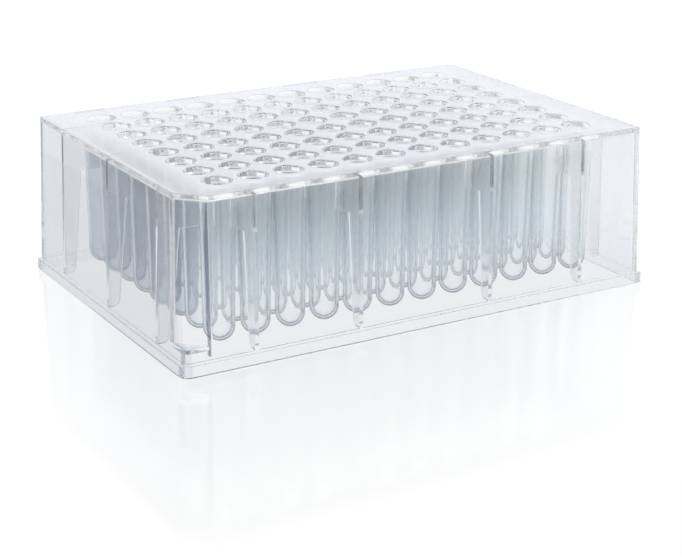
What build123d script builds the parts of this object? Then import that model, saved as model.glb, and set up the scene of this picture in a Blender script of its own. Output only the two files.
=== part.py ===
from build123d import *
import math
import os

os.makedirs("parts", exist_ok=True)

# ---------------------------------------------------------------- driving sizes (mm)
# Well grid and the footprint around it
PITCH = 9.0
COLUMNS = 12
ROWS = 8
COLUMN_MARGIN = 14.38  # short edge of the footprint to the first column
ROW_MARGIN = 11.24  # long edge of the footprint to the first row
HEIGHT = 40.3

# Wells, and the tubes that hang below the deck around them
MOUTH_RADIUS = 3.45
FLOOR_RADIUS = 2.85  # the round bottom, inside
TUBE_WALL_TOP = 0.5
TUBE_WALL_BOTTOM = 0.6
TUBE_CLEARANCE = 3.1  # rest plane to the lowest point of a tube
TUBE_ROOT_CHAMFER = 0.35  # tube to the underside of the deck
MOUTH_CHAMFER = 0.25

# Deck and skirt
DECK_THICKNESS = 1.45
DECK_INSET = 1.7  # footprint edge to the skirt's outer face, at the deck
SKIRT_FOOT_INSET = 0.75  # the same at the top of the flange
SKIRT_WALL = 1.2
DECK_EDGE_FILLET = 0.35
DECK_ROOT_FILLET = 0.5  # skirt to the underside of the deck
BACK_CORNER_FILLET = 3.0
SIDE_CORNER_FILLET = 0.5
INNER_CORNER_FILLET = 0.6

# Keying corner, cut off at 45 degrees above a small triangular ledge
KEY_LEG = 5.9  # along each deck edge
KEY_LEDGE_HEIGHT = 6.3
KEY_SHORT_SIDE_FILLET = 2.5
KEY_LONG_SIDE_FILLET = 0.4
LEDGE_CORNER_FILLET = 2.2

# Flange and the stacking recess that takes the deck of a plate below
FLANGE_HEIGHT = 2.75
FLANGE_CORNER_FILLET = 0.5
FLANGE_KEY_CORNER_FILLET = 2.5
FLANGE_EDGE_FILLET = 0.2
RECESS_HEIGHT = 3.0
STACKING_CLEARANCE = 0.2

# Ribs inside the skirt, each in line with the gap after the named column or row
RIB_AFTER_COLUMNS = (1, 4, 8, 11)
RIB_AFTER_ROWS = (1, 4, 7)
RIB_THICKNESS = 1.0
RIB_FOOT_DEPTH = 2.8
RIB_STEP_DEPTH = 4.7
RIB_STEP_HEIGHT = 29.2  # above it a rib reaches in between two tubes
RIB_STEP_FILLET = 1.5
BRIDGE_LENGTH = 1.6  # tie between the two tubes at the end of a rib
BRIDGE_OVERLAP = 0.15

# ---------------------------------------------------------------- derived sizes
LENGTH = (COLUMNS - 1) * PITCH + 2 * COLUMN_MARGIN
WIDTH = (ROWS - 1) * PITCH + 2 * ROW_MARGIN
SLOPE = (DECK_INSET - SKIRT_FOOT_INSET) / (HEIGHT - FLANGE_HEIGHT)
DRAFT = math.degrees(math.atan(SLOPE))
DECK_UNDERSIDE = HEIGHT - DECK_THICKNESS

MOUTH_TUBE_RADIUS = MOUTH_RADIUS + TUBE_WALL_TOP
FLOOR_TUBE_RADIUS = FLOOR_RADIUS + TUBE_WALL_BOTTOM
FLOOR_CENTRE = TUBE_CLEARANCE + FLOOR_TUBE_RADIUS


def skirt_inset(z):
    """Footprint edge to the skirt's outer face at height z."""
    return SKIRT_FOOT_INSET + SLOPE * (z - FLANGE_HEIGHT)


def tube_radius(z):
    """Outer radius of a tube at height z, above its round bottom."""
    share = (z - FLOOR_CENTRE) / (HEIGHT - FLOOR_CENTRE)
    return FLOOR_TUBE_RADIUS + share * (MOUTH_TUBE_RADIUS - FLOOR_TUBE_RADIUS)


def key_face(z, depth=0.0):
    """Distance of the keying face from the axis at height z, depth mm inside the outer face."""
    corner = (LENGTH / 2 - DECK_INSET) + (WIDTH / 2 - DECK_INSET)
    at_deck = (corner - KEY_LEG) / math.sqrt(2)
    return at_deck + SLOPE * (HEIGHT - z) - depth


def upright(edge_list):
    """The edges that stand up, or nearly so on a drafted wall."""
    return edge_list.filter_by(lambda edge: abs(edge.tangent_at(0.5).Z) > 0.9)


# ---------------------------------------------------------------- keying corner
# Section plane through the axis, square to the corner that is cut off
CORNER_PLANE = Plane(origin=(0, 0, 0), x_dir=(-1, -1, 0), z_dir=(-1, 1, 0))
CORNER_REACH = LENGTH

with BuildPart() as key_cut:
    with BuildSketch(CORNER_PLANE):
        with BuildLine():
            Polyline(
                (key_face(KEY_LEDGE_HEIGHT), KEY_LEDGE_HEIGHT),
                (CORNER_REACH, KEY_LEDGE_HEIGHT),
                (CORNER_REACH, HEIGHT + 1),
                (key_face(HEIGHT + 1), HEIGHT + 1),
                close=True,
            )
        make_face()
    extrude(amount=CORNER_REACH, both=True)

with BuildPart() as key_backing:
    ledge = KEY_LEDGE_HEIGHT - SKIRT_WALL
    with BuildSketch(CORNER_PLANE):
        with BuildLine():
            Polyline(
                (key_face(ledge, SKIRT_WALL), ledge),
                (CORNER_REACH, ledge),
                (CORNER_REACH, HEIGHT + 1),
                (key_face(HEIGHT + 1, SKIRT_WALL), HEIGHT + 1),
                close=True,
            )
        make_face()
    extrude(amount=CORNER_REACH, both=True)

# ---------------------------------------------------------------- space inside the skirt
with BuildPart() as cavity:
    inset = skirt_inset(RECESS_HEIGHT) + SKIRT_WALL
    with BuildSketch(Plane.XY.offset(RECESS_HEIGHT)):
        Rectangle(LENGTH - 2 * inset, WIDTH - 2 * inset)
    extrude(amount=DECK_UNDERSIDE - RECESS_HEIGHT, taper=DRAFT)
    add(key_backing.part, mode=Mode.SUBTRACT)
    fillet(upright(edges()), radius=INNER_CORNER_FILLET)
    fillet(faces().sort_by(Axis.Z)[-1].edges(), radius=DECK_ROOT_FILLET)

with BuildPart() as recess:
    inset = DECK_INSET - STACKING_CLEARANCE
    with BuildSketch(Plane.XY):
        Rectangle(LENGTH - 2 * inset, WIDTH - 2 * inset)
        fillet(vertices(), radius=INNER_CORNER_FILLET)
    extrude(amount=RECESS_HEIGHT)

# ---------------------------------------------------------------- one tube and its bore
with BuildPart() as tube:
    root = DECK_UNDERSIDE - TUBE_ROOT_CHAMFER
    with BuildSketch(Plane.XZ):
        with BuildLine():
            CenterArc((0, FLOOR_CENTRE), FLOOR_TUBE_RADIUS, -90, 90)
            Line((FLOOR_TUBE_RADIUS, FLOOR_CENTRE), (tube_radius(root), root))
            Line((tube_radius(root), root), (tube_radius(root) + TUBE_ROOT_CHAMFER, DECK_UNDERSIDE))
            Polyline(
                (tube_radius(root) + TUBE_ROOT_CHAMFER, DECK_UNDERSIDE),
                (tube_radius(root) + TUBE_ROOT_CHAMFER, HEIGHT - DECK_THICKNESS / 2),
                (0, HEIGHT - DECK_THICKNESS / 2),
                (0, TUBE_CLEARANCE),
            )
        make_face()
    revolve(axis=Axis.Z)

with BuildPart() as bore:
    lip = HEIGHT - MOUTH_CHAMFER
    with BuildSketch(Plane.XZ):
        with BuildLine():
            CenterArc((0, FLOOR_CENTRE), FLOOR_RADIUS, -90, 90)
            Line((FLOOR_RADIUS, FLOOR_CENTRE), (MOUTH_RADIUS, lip))
            Line((MOUTH_RADIUS, lip), (MOUTH_RADIUS + MOUTH_CHAMFER, HEIGHT))
            Polyline(
                (MOUTH_RADIUS + MOUTH_CHAMFER, HEIGHT),
                (MOUTH_RADIUS + MOUTH_CHAMFER, HEIGHT + 1),
                (0, HEIGHT + 1),
                (0, FLOOR_CENTRE - FLOOR_RADIUS),
            )
        make_face()
    revolve(axis=Axis.Z)


# ---------------------------------------------------------------- ribs
def rib_outline(margin):
    """Side view of a rib as (distance from the footprint edge, height), margin to its tubes."""
    foot = skirt_inset(RECESS_HEIGHT) + SKIRT_WALL
    step = skirt_inset(RIB_STEP_HEIGHT) + SKIRT_WALL
    top = HEIGHT - DECK_THICKNESS / 2
    return [
        (foot - SKIRT_WALL / 2, RECESS_HEIGHT),
        (foot + RIB_FOOT_DEPTH, RECESS_HEIGHT),
        (step + RIB_STEP_DEPTH, RIB_STEP_HEIGHT),
        (margin, RIB_STEP_HEIGHT),
        (margin, top),
        (skirt_inset(top) + SKIRT_WALL / 2, top),
    ]


half_chord = math.sqrt(tube_radius(RIB_STEP_HEIGHT) ** 2 - (BRIDGE_LENGTH / 2) ** 2)
bridge_width = PITCH - 2 * half_chord + 2 * BRIDGE_OVERLAP
bridge_height = HEIGHT - DECK_THICKNESS / 2 - RIB_STEP_HEIGHT

with BuildPart() as long_wall_rib:
    with BuildSketch(Plane.YZ):
        with BuildLine():
            Polyline(*[(d - WIDTH / 2, z) for d, z in rib_outline(ROW_MARGIN)], close=True)
        make_face()
        inner_corner = vertices().sort_by_distance(
            (0, skirt_inset(RIB_STEP_HEIGHT) + SKIRT_WALL + RIB_STEP_DEPTH - WIDTH / 2, RIB_STEP_HEIGHT)
        )[0]
        fillet(inner_corner, radius=RIB_STEP_FILLET)
    extrude(amount=RIB_THICKNESS / 2, both=True)
    with BuildSketch(Plane.XY.offset(RIB_STEP_HEIGHT)):
        with Locations((0, ROW_MARGIN - WIDTH / 2)):
            Rectangle(bridge_width, BRIDGE_LENGTH)
    extrude(amount=bridge_height)

with BuildPart() as short_wall_rib:
    with BuildSketch(Plane.XZ):
        with BuildLine():
            Polyline(*[(d - LENGTH / 2, z) for d, z in rib_outline(COLUMN_MARGIN)], close=True)
        make_face()
        inner_corner = vertices().sort_by_distance(
            (skirt_inset(RIB_STEP_HEIGHT) + SKIRT_WALL + RIB_STEP_DEPTH - LENGTH / 2, 0, RIB_STEP_HEIGHT)
        )[0]
        fillet(inner_corner, radius=RIB_STEP_FILLET)
    extrude(amount=RIB_THICKNESS / 2, both=True)
    with BuildSketch(Plane.XY.offset(RIB_STEP_HEIGHT)):
        with Locations((COLUMN_MARGIN - LENGTH / 2, 0)):
            Rectangle(BRIDGE_LENGTH, bridge_width)
    extrude(amount=bridge_height)

rib_columns = [(COLUMN_MARGIN + (n - 0.5) * PITCH - LENGTH / 2, 0, 0) for n in RIB_AFTER_COLUMNS]
rib_rows = [(0, ROW_MARGIN + (n - 0.5) * PITCH - WIDTH / 2, 0) for n in RIB_AFTER_ROWS]

with BuildPart() as ribs:
    with Locations(*rib_columns):
        add(long_wall_rib.part)
    with Locations(*rib_rows):
        add(short_wall_rib.part)
    mirror(about=Plane.XZ)
    mirror(about=Plane.YZ)

with BuildPart() as flange:
    with BuildSketch(Plane.XY):
        Rectangle(LENGTH, WIDTH)
        by_corner = vertices().sort_by_distance((-LENGTH / 2, -WIDTH / 2, 0))
        fillet(by_corner[1:], radius=FLANGE_CORNER_FILLET)
        fillet(vertices().sort_by_distance((-LENGTH / 2, -WIDTH / 2, 0))[0], FLANGE_KEY_CORNER_FILLET)
    extrude(amount=FLANGE_HEIGHT)
    level = faces().filter_by(Axis.Z)
    fillet(level.edges(), radius=FLANGE_EDGE_FILLET)

# ---------------------------------------------------------------- the moulding
with BuildPart() as well_plate:
    with BuildSketch(Plane.XY.offset(FLANGE_HEIGHT)):
        Rectangle(LENGTH - 2 * SKIRT_FOOT_INSET, WIDTH - 2 * SKIRT_FOOT_INSET)
    extrude(amount=HEIGHT - FLANGE_HEIGHT, taper=DRAFT)
    add(key_cut.part, mode=Mode.SUBTRACT)

    for place, radius in (
        ((LENGTH / 2, WIDTH / 2, HEIGHT / 2), BACK_CORNER_FILLET),
        ((LENGTH / 2, -WIDTH / 2, HEIGHT / 2), SIDE_CORNER_FILLET),
        ((-LENGTH / 2, WIDTH / 2, HEIGHT / 2), SIDE_CORNER_FILLET),
        ((-LENGTH / 2 + KEY_LEG, -WIDTH / 2, HEIGHT / 2), KEY_LONG_SIDE_FILLET),
        ((-LENGTH / 2, -WIDTH / 2 + KEY_LEG, HEIGHT / 2), KEY_SHORT_SIDE_FILLET),
        ((-LENGTH / 2, -WIDTH / 2, FLANGE_HEIGHT), LEDGE_CORNER_FILLET),
    ):
        fillet(upright(edges()).sort_by_distance(place)[0], radius=radius)
    fillet(faces().sort_by(Axis.Z)[-1].edges(), radius=DECK_EDGE_FILLET)

    add(flange.part)
    add(cavity.part, mode=Mode.SUBTRACT)
    add(recess.part, mode=Mode.SUBTRACT)
    add(ribs.part)
    with GridLocations(PITCH, PITCH, COLUMNS, ROWS):
        add(tube.part)
    with GridLocations(PITCH, PITCH, COLUMNS, ROWS):
        add(bore.part, mode=Mode.SUBTRACT)

well_plate.part.label = "well_plate"
export_step(well_plate.part, "parts/well_plate.step")
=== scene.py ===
"""A 96-well deep plate in clear moulded plastic, in a plain white studio.

The plate keeps its CAD mesh. This script gives it its plastic, and adds the camera, floor and light.
"""
import math

import bpy
from mathutils import Matrix, Vector


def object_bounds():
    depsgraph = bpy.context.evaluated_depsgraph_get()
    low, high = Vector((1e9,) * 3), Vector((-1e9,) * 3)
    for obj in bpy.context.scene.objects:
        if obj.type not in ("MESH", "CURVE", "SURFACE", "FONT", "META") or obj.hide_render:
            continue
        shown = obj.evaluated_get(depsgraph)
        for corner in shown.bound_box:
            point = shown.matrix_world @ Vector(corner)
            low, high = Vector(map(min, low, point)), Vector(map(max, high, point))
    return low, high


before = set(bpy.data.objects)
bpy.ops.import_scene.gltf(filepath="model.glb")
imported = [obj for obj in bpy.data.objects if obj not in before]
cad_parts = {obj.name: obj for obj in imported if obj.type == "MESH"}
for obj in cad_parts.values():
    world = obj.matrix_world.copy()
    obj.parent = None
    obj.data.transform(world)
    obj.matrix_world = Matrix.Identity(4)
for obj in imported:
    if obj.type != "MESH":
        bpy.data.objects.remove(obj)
cad_box = [list(map(float, corner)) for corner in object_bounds()]
plate_top = cad_box[1][2]
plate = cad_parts["well_plate"]
scene = bpy.context.scene

# ------------------------------------------------------------------ camera
AZIMUTH, ELEVATION, ROLL = math.radians(30.805), math.radians(16.982), math.radians(0.375)
AIM = Vector((0.0, 0.0, 0.020))
DISTANCE = 0.4317
LENS, SENSOR = 90.771, 36.0            # mm
SHIFT_X, SHIFT_Y = 0.00543, -0.11774

forward = Vector((math.sin(AZIMUTH) * math.cos(ELEVATION),
                  math.cos(AZIMUTH) * math.cos(ELEVATION),
                  -math.sin(ELEVATION)))
level = Vector((math.cos(AZIMUTH), -math.sin(AZIMUTH), 0.0))
above = level.cross(forward)
right = level * math.cos(ROLL) + above * math.sin(ROLL)
up = above * math.cos(ROLL) - level * math.sin(ROLL)
eye = AIM - forward * DISTANCE

camera_data = bpy.data.cameras.new("camera")
camera_data.sensor_width = SENSOR
camera_data.lens = LENS
camera_data.shift_x, camera_data.shift_y = SHIFT_X, SHIFT_Y
camera_data.clip_start, camera_data.clip_end = 0.01, 100.0
camera = bpy.data.objects.new("camera", camera_data)
scene.collection.objects.link(camera)
camera.matrix_world = Matrix((
    (right.x, up.x, -forward.x, eye.x),
    (right.y, up.y, -forward.y, eye.y),
    (right.z, up.z, -forward.z, eye.z),
    (0.0, 0.0, 0.0, 1.0)))
scene.camera = camera


# ------------------------------------------------------------------ node helpers
class Nodes:
    """Short names for the few kinds of node that the materials use."""

    def __init__(self, tree):
        self.tree = tree

    def new(self, kind):
        return self.tree.nodes.new(kind)

    def put(self, value, socket):
        """Links an output to a socket, or writes a number or an RGB colour on it."""
        if isinstance(value, bpy.types.NodeSocket):
            self.tree.links.new(value, socket)
        elif isinstance(value, tuple):
            socket.default_value = (*value, 1.0)
        else:
            socket.default_value = value

    def math(self, operation, *values):
        node = self.new("ShaderNodeMath")
        node.operation = operation
        for value, socket in zip(values, node.inputs):
            self.put(value, socket)
        return node.outputs[0]

    def over(self, a, b):
        return self.math("GREATER_THAN", a, b)

    def under(self, a, b):
        return self.math("LESS_THAN", a, b)

    def between(self, value, low, high):
        return self.product(self.over(value, low), self.under(value, high))

    def near_any(self, value, centres, reach):
        """1 within reach of one of the centres, otherwise 0."""
        offsets = [self.math("ABSOLUTE", self.math("SUBTRACT", value, c)) for c in centres]
        return self.either(*[self.under(offset, reach) for offset in offsets])

    def product(self, first, *rest):
        for value in rest:
            first = self.math("MULTIPLY", first, value)
        return first

    def either(self, first, *rest):
        for mask in rest:
            first = self.math("MAXIMUM", first, mask)
        return first

    def mix(self, factor, a, b):
        """a where factor is 0, b where it is 1, as a colour when either is one."""
        node = self.new("ShaderNodeMix")
        colour = any(isinstance(v, tuple) or getattr(v, "type", "") == "RGBA" for v in (a, b))
        node.data_type = "RGBA" if colour else "FLOAT"
        first = 6 if colour else 2
        self.put(factor, node.inputs["Factor"])
        self.put(a, node.inputs[first])
        self.put(b, node.inputs[first + 1])
        return node.outputs[first // 3]

    def ramp(self, value, low, high, at_low=0.0, at_high=1.0, smooth=True):
        node = self.new("ShaderNodeMapRange")
        node.interpolation_type = "SMOOTHSTEP" if smooth else "LINEAR"
        for number, socket in zip((low, high, at_low, at_high), node.inputs[1:5]):
            socket.default_value = number
        self.put(value, node.inputs[0])
        return node.outputs[0]


def write(shader, values):
    """Writes numbers and colours on a shader's own sockets."""
    for name, value in values.items():
        shader.inputs[name].default_value = value


def grey(white):
    return (white, white, white, 1.0)


# ------------------------------------------------------------------ plastic: zones of the plate
# One moulding, so one material. Its zones follow the plate's own coordinates, in metres.
PITCH, COLUMNS, ROWS = 0.009, 12, 8
FIELD_X, FIELD_Y = COLUMNS * PITCH / 2, ROWS * PITCH / 2     # half size of the block of tubes
INNER_X, INNER_Y = FIELD_X - PITCH, FIELD_Y - PITCH          # the same without its outer ring
DECK_BOTTOM = plate_top - 0.0016       # just under the deck's underside
DECK_FACE = plate_top - 0.00015        # just under its top face
ROOT_LOW, ROOT_HIGH = DECK_BOTTOM - 0.0001, DECK_BOTTOM + 0.0005     # a band that takes it in
COLLAR_FOOT = 0.0340                   # a clear collar round each mouth starts here
DRAW_LOW, DRAW_HIGH = 0.004, 0.032     # over this height a tube turns softer
BOTTOM_LOW, BOTTOM_HIGH = 0.003, 0.013 # over this height the round bottoms' outline fades
SKIRT_LOW, SKIRT_HIGH = 0.005, 0.026   # over this height the skirt's tint turns paler
FOOT_TOP = 0.0045                      # the flange and the skirt's lowest edge
# The left end wall, the end row of tubes along it and one edge of the keying corner carry painted
# shade further down: they are darker, for how the light falls on that end of the plate.
LEFT_WALL = -0.0612                    # the left end wall has x below this
FRONT_WALL = -0.0405                   # the front long wall has y below this
KEY_FOLD_LEFT, KEY_FOLD_RIGHT = -0.0572, -0.0566     # the keying corner folds into it here
KEY_FOLD_FOOT = 0.004
END_ROW_FULL, END_ROW_GONE = -0.050, -0.040          # the tubes along the left end wall,
END_ROW_START, END_ROW_WHOLE = -0.027, -0.012        # from behind the keying corner on
RIB_COLUMNS, RIB_ROWS = (2 * PITCH, 5 * PITCH), (0.0, 3 * PITCH)
RIB_HALF = 0.00055
RIB_OVERLAP = 0.0015                   # their zone ends this far inside the block of tubes
MARGIN_X, MARGIN_Y = FIELD_X - 0.001, FIELD_Y - 0.001        # the deck's margin starts here
MARGIN_X_WIDTH, MARGIN_Y_WIDTH = 0.006, 0.005                # and turns clearer over this width

plastic = bpy.data.materials.new("moulded_clear_plastic")
plastic.use_nodes = True
nodes = Nodes(plastic.node_tree)
bsdf = plastic.node_tree.nodes["Principled BSDF"]

place = nodes.new("ShaderNodeTexCoord").outputs["Object"]
axes = nodes.new("ShaderNodeSeparateXYZ")
nodes.put(place, axes.inputs[0])
x, y, z = axes.outputs
across, along = nodes.math("ABSOLUTE", x), nodes.math("ABSOLUTE", y)

below_deck = nodes.under(z, DECK_BOTTOM)
deck = nodes.over(z, DECK_BOTTOM)
deck_face = nodes.over(z, DECK_FACE)
deck_root = nodes.between(z, ROOT_LOW, ROOT_HIGH)
margin = nodes.either(nodes.ramp(across, MARGIN_X, MARGIN_X + MARGIN_X_WIDTH),
                      nodes.ramp(along, MARGIN_Y, MARGIN_Y + MARGIN_Y_WIDTH))
tubes = nodes.product(nodes.under(across, FIELD_X), nodes.under(along, FIELD_Y), below_deck)
inner_tubes = nodes.product(nodes.under(across, INNER_X), nodes.under(along, INNER_Y), below_deck)
collars = nodes.product(tubes, nodes.over(z, COLLAR_FOOT))
# painted shade: the end row of tubes along the left end wall is darkened
end_row_shade = nodes.product(tubes, nodes.ramp(x, END_ROW_FULL, END_ROW_GONE, 1.0, 0.0),
                        nodes.ramp(y, END_ROW_START, END_ROW_WHOLE))
bottoms = nodes.ramp(z, BOTTOM_LOW, BOTTOM_HIGH, 1.0, 0.0)
foot = nodes.under(z, FOOT_TOP)
# painted shade: the left end wall and one edge of the keying corner are darkened
left_wall_shade = nodes.under(x, LEFT_WALL)
key_fold_shade = nodes.product(nodes.between(x, KEY_FOLD_LEFT, KEY_FOLD_RIGHT),
                         nodes.under(y, FRONT_WALL), nodes.over(z, KEY_FOLD_FOOT))
long_side_ribs = nodes.product(nodes.near_any(across, RIB_COLUMNS, RIB_HALF),
                               nodes.over(along, FIELD_Y - RIB_OVERLAP))
short_side_ribs = nodes.product(nodes.near_any(along, RIB_ROWS, RIB_HALF),
                                nodes.over(across, FIELD_X - RIB_OVERLAP))
ribs = nodes.product(nodes.either(long_side_ribs, short_side_ribs),
                     below_deck, nodes.over(z, FOOT_TOP))

height = nodes.ramp(z, 0.0, DECK_BOTTOM, smooth=False)
outside = nodes.math("SUBTRACT", 1.0, nodes.new("ShaderNodeNewGeometry").outputs["Backfacing"])
facing = nodes.new("ShaderNodeLayerWeight")
write(facing, {"Blend": 0.5})
edge_on = facing.outputs["Facing"]

# ------------------------------------------------------------------ plastic: gloss
# Polished walls with faint flow marks, a softer deck, and tubes that turn softer towards it.
SKIRT_ROUGH, FOOT_ROUGH, RIB_ROUGH = 0.012, 0.06, 0.09
DECK_ROUGH, DECK_ROOT_ROUGH = 0.04, 0.16
FACE_ROUGH, FACE_FLOW_ROUGH = 0.02, 0.05
OUTER_LOW_ROUGH, OUTER_HIGH_ROUGH = 0.0, 0.12
INNER_LOW_ROUGH, INNER_HIGH_ROUGH = 0.03, 0.15
COLLAR_ROUGH = 0.02
FLOW_LOW, FLOW_HIGH = 0.35, 0.75       # the noise values between which a flow mark fades in

noise = nodes.new("ShaderNodeTexNoise")
write(noise, {"Scale": 90.0, "Detail": 3.0})
nodes.put(place, noise.inputs["Vector"])
flow = nodes.ramp(noise.outputs[0], FLOW_LOW, FLOW_HIGH)

draw = nodes.ramp(z, DRAW_LOW, DRAW_HIGH)
tube_rough = nodes.mix(inner_tubes, nodes.mix(draw, OUTER_LOW_ROUGH, OUTER_HIGH_ROUGH),
                       nodes.mix(draw, INNER_LOW_ROUGH, INNER_HIGH_ROUGH))
tube_rough = nodes.mix(collars, tube_rough, COLLAR_ROUGH)
skirt_rough = nodes.mix(foot, nodes.math("MULTIPLY", flow, SKIRT_ROUGH), FOOT_ROUGH)
face_rough = nodes.math("MULTIPLY_ADD", flow, FACE_FLOW_ROUGH, FACE_ROUGH)
deck_rough = nodes.mix(deck_face, DECK_ROUGH, face_rough)
rough = nodes.mix(tubes, skirt_rough, tube_rough)
rough = nodes.mix(deck, rough, deck_rough)
rough = nodes.mix(deck_root, rough, DECK_ROOT_ROUGH)
rough = nodes.mix(ribs, rough, RIB_ROUGH)
nodes.put(rough, bsdf.inputs["Roughness"])

# ------------------------------------------------------------------ plastic: colour
# Light takes up a little of the tint at each surface it crosses, so it deepens where walls lie one
# behind another.
# Where a tube wall is seen edge on, its colour is partly the deeper tint of thick clear plastic and
# partly painted shade:
# dark outlines along the tubes, strongest low down, and near-black crescents of painted shade round
# their bottoms.
TUBE_LOW_TINT, TUBE_HIGH_TINT = (0.966, 0.979, 0.990), (0.990, 1.000, 1.000)
# painted shade: the darker colour of the end row of tubes
END_ROW_PAINTED_SHADE = (0.750, 0.785, 0.820)
# The next two colours are painted shade in part: the edge colour is partly thick plastic's tint and
# partly painted dark outlines, the bottom colour paints near-black crescents of shade.
EDGE_TINT_AND_SHADE = (0.090, 0.250, 0.420)
BOTTOM_CRESCENT_SHADE = (0.070, 0.090, 0.120)
COLLAR_TINT = (1.000, 1.000, 1.000)
SKIRT_LOW_TINT, SKIRT_HIGH_TINT = (0.900, 0.920, 0.940), (0.943, 0.957, 0.970)
FOOT_TINT = (0.895, 0.910, 0.925)
# painted shade: the darker colours of the left end wall and of one edge of the keying corner
LEFT_WALL_PAINTED_SHADE = (0.780, 0.800, 0.840)
KEY_FOLD_PAINTED_SHADE = (0.200, 0.230, 0.280)
# painted sheen: the deck's face takes a pale lavender colour that stands in for its reflection of the
# bright surroundings
DECK_TINT, DECK_FACE_PAINTED_SHEEN = (0.990, 0.995, 1.000), (0.830, 0.855, 0.930)
# The edge tint on the next line is partly painted shade.
EDGE_LOW, EDGE_HIGH = 0.95, 0.07       # how strongly a tube's edges take the edge tint
EDGE_INNER = 0.8                       # times this on the inner tubes
BOTTOM_EDGE_LOW, BOTTOM_EDGE_HIGH = 0.42, 0.60

edge = nodes.product(nodes.math("POWER", edge_on, 2.0), nodes.mix(height, EDGE_LOW, EDGE_HIGH),
                     nodes.mix(inner_tubes, 1.0, EDGE_INNER))
# painted shade: dark crescents where the round bottoms are seen edge on
bottom_crescent_shade = nodes.product(nodes.ramp(edge_on, BOTTOM_EDGE_LOW, BOTTOM_EDGE_HIGH), bottoms)
tube_tint = nodes.mix(height, TUBE_LOW_TINT, TUBE_HIGH_TINT)
# painted shade on the end row of tubes
tube_tint = nodes.mix(end_row_shade, tube_tint, END_ROW_PAINTED_SHADE)
# edge-on outlines: partly thick plastic's tint, partly painted shade
tube_tint = nodes.mix(edge, tube_tint, EDGE_TINT_AND_SHADE)
tube_tint = nodes.mix(bottom_crescent_shade, tube_tint, BOTTOM_CRESCENT_SHADE)
tube_tint = nodes.mix(collars, tube_tint, COLLAR_TINT)
skirt_tint = nodes.mix(nodes.ramp(z, SKIRT_LOW, SKIRT_HIGH), SKIRT_LOW_TINT, SKIRT_HIGH_TINT)
skirt_tint = nodes.mix(foot, skirt_tint, FOOT_TINT)
# painted shade on the left end wall
skirt_tint = nodes.mix(left_wall_shade, skirt_tint, LEFT_WALL_PAINTED_SHADE)
tint = nodes.mix(tubes, skirt_tint, tube_tint)
# painted shade on one edge of the keying corner
tint = nodes.mix(key_fold_shade, tint, KEY_FOLD_PAINTED_SHADE)
# painted sheen on the deck's face
tint = nodes.mix(deck, tint, nodes.mix(deck_face, DECK_TINT, DECK_FACE_PAINTED_SHEEN))
nodes.put(tint, bsdf.inputs["Base Color"])

# ------------------------------------------------------------------ plastic: clarity
# Clear all through, with painted sheen on the outside of the deck's face: a milky pale bloom that
# stands in for the face's reflection of the bright surroundings, and a trace of the same painted
# paleness on the outside of the ribs.
FIELD_CLEAR, MARGIN_CLEAR, RIB_CLEAR = 0.36, 0.64, 0.96
POLYSTYRENE_IOR = 1.59

clear = nodes.mix(nodes.product(deck_face, outside), 1.0, nodes.mix(margin, FIELD_CLEAR, MARGIN_CLEAR))
clear = nodes.mix(nodes.product(ribs, outside), clear, RIB_CLEAR)
nodes.put(clear, bsdf.inputs["Transmission Weight"])
write(bsdf, {"IOR": POLYSTYRENE_IOR})
for slot in plate.material_slots:
    slot.material = plastic

# ------------------------------------------------------------------ floor
# The camera sees a softly shining, glossy white sheet. Glass and gloss see a plain pale one.
FLOOR_GLOW = 0.685
SEEN_THROUGH, SEEN_IN_GLOSS = 0.92, 0.60     # how bright glass and gloss see it
FLOOR_HALF = 6.0
FLOOR_DROP = 0.0001                    # keeps it from lying in the plane of the plate's foot

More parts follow.
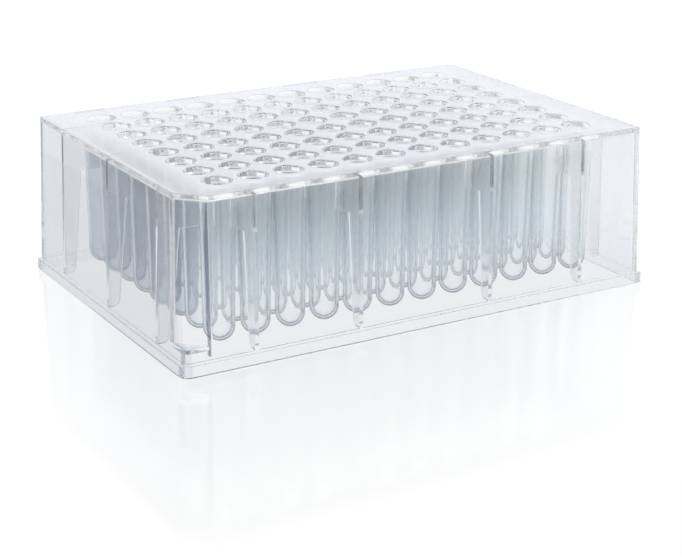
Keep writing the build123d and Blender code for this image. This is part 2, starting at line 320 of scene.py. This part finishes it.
floor_look = bpy.data.materials.new("white_acrylic")
floor_look.use_nodes = True
nodes = Nodes(floor_look.node_tree)
sheet = floor_look.node_tree.nodes["Principled BSDF"]
write(sheet, {"Base Color": grey(0.15), "Roughness": 0.10, "IOR": 2.2,
              "Emission Color": grey(1.0), "Emission Strength": FLOOR_GLOW})
pale = nodes.new("ShaderNodeBsdfPrincipled")
write(pale, {"Base Color": grey(0.10), "Roughness": 1.0, "IOR": 1.0, "Emission Color": grey(1.0)})
rays = nodes.new("ShaderNodeLightPath")
seen = nodes.either(
    nodes.math("MULTIPLY", rays.outputs["Is Transmission Ray"], SEEN_THROUGH),
    nodes.math("MULTIPLY", rays.outputs["Is Glossy Ray"], SEEN_IN_GLOSS))
nodes.put(seen, pale.inputs["Emission Strength"])
by_ray = nodes.new("ShaderNodeMixShader")
nodes.put(rays.outputs["Is Camera Ray"], by_ray.inputs[0])
nodes.put(pale.outputs[0], by_ray.inputs[1])
nodes.put(sheet.outputs[0], by_ray.inputs[2])
nodes.put(by_ray.outputs[0], floor_look.node_tree.nodes["Material Output"].inputs["Surface"])

floor_mesh = bpy.data.meshes.new("floor")
floor_mesh.from_pydata([(-FLOOR_HALF, -FLOOR_HALF, 0.0), (FLOOR_HALF, -FLOOR_HALF, 0.0),
                        (FLOOR_HALF, FLOOR_HALF, 0.0), (-FLOOR_HALF, FLOOR_HALF, 0.0)],
                       [], [(0, 1, 2, 3)])
floor_mesh.materials.append(floor_look)
floor = bpy.data.objects.new("floor", floor_mesh)
floor.location = (0.0, 0.0, -FLOOR_DROP)
scene.collection.objects.link(floor)

# ------------------------------------------------------------------ light: a plain white studio
SOFTBOX_PLACE = Vector((0.3, 0.3, 1.0))
SOFTBOX_SIZE, SOFTBOX_WATTS = 0.5, 1.0

world = bpy.data.worlds.new("studio")
scene.world = world
world.use_nodes = True
write(world.node_tree.nodes["Background"], {"Color": grey(1.0), "Strength": 1.0})

softbox = bpy.data.lights.new("softbox", "AREA")
softbox.shape, softbox.size, softbox.energy = "SQUARE", SOFTBOX_SIZE, SOFTBOX_WATTS
holder = bpy.data.objects.new("softbox", softbox)
holder.location = SOFTBOX_PLACE
holder.rotation_euler = (AIM - SOFTBOX_PLACE).to_track_quat("-Z", "Y").to_euler()
scene.collection.objects.link(holder)

# ------------------------------------------------------------------ settings
# Light runs far along the inside of clear walls, and these limits are high enough to let it out.
CLEAR_BOUNCES, DIFFUSE_BOUNCES = 512, 16

scene.view_settings.view_transform = "Standard"
scene.cycles.max_bounces = CLEAR_BOUNCES
scene.cycles.transmission_bounces = CLEAR_BOUNCES
scene.cycles.glossy_bounces = CLEAR_BOUNCES
scene.cycles.diffuse_bounces = DIFFUSE_BOUNCES
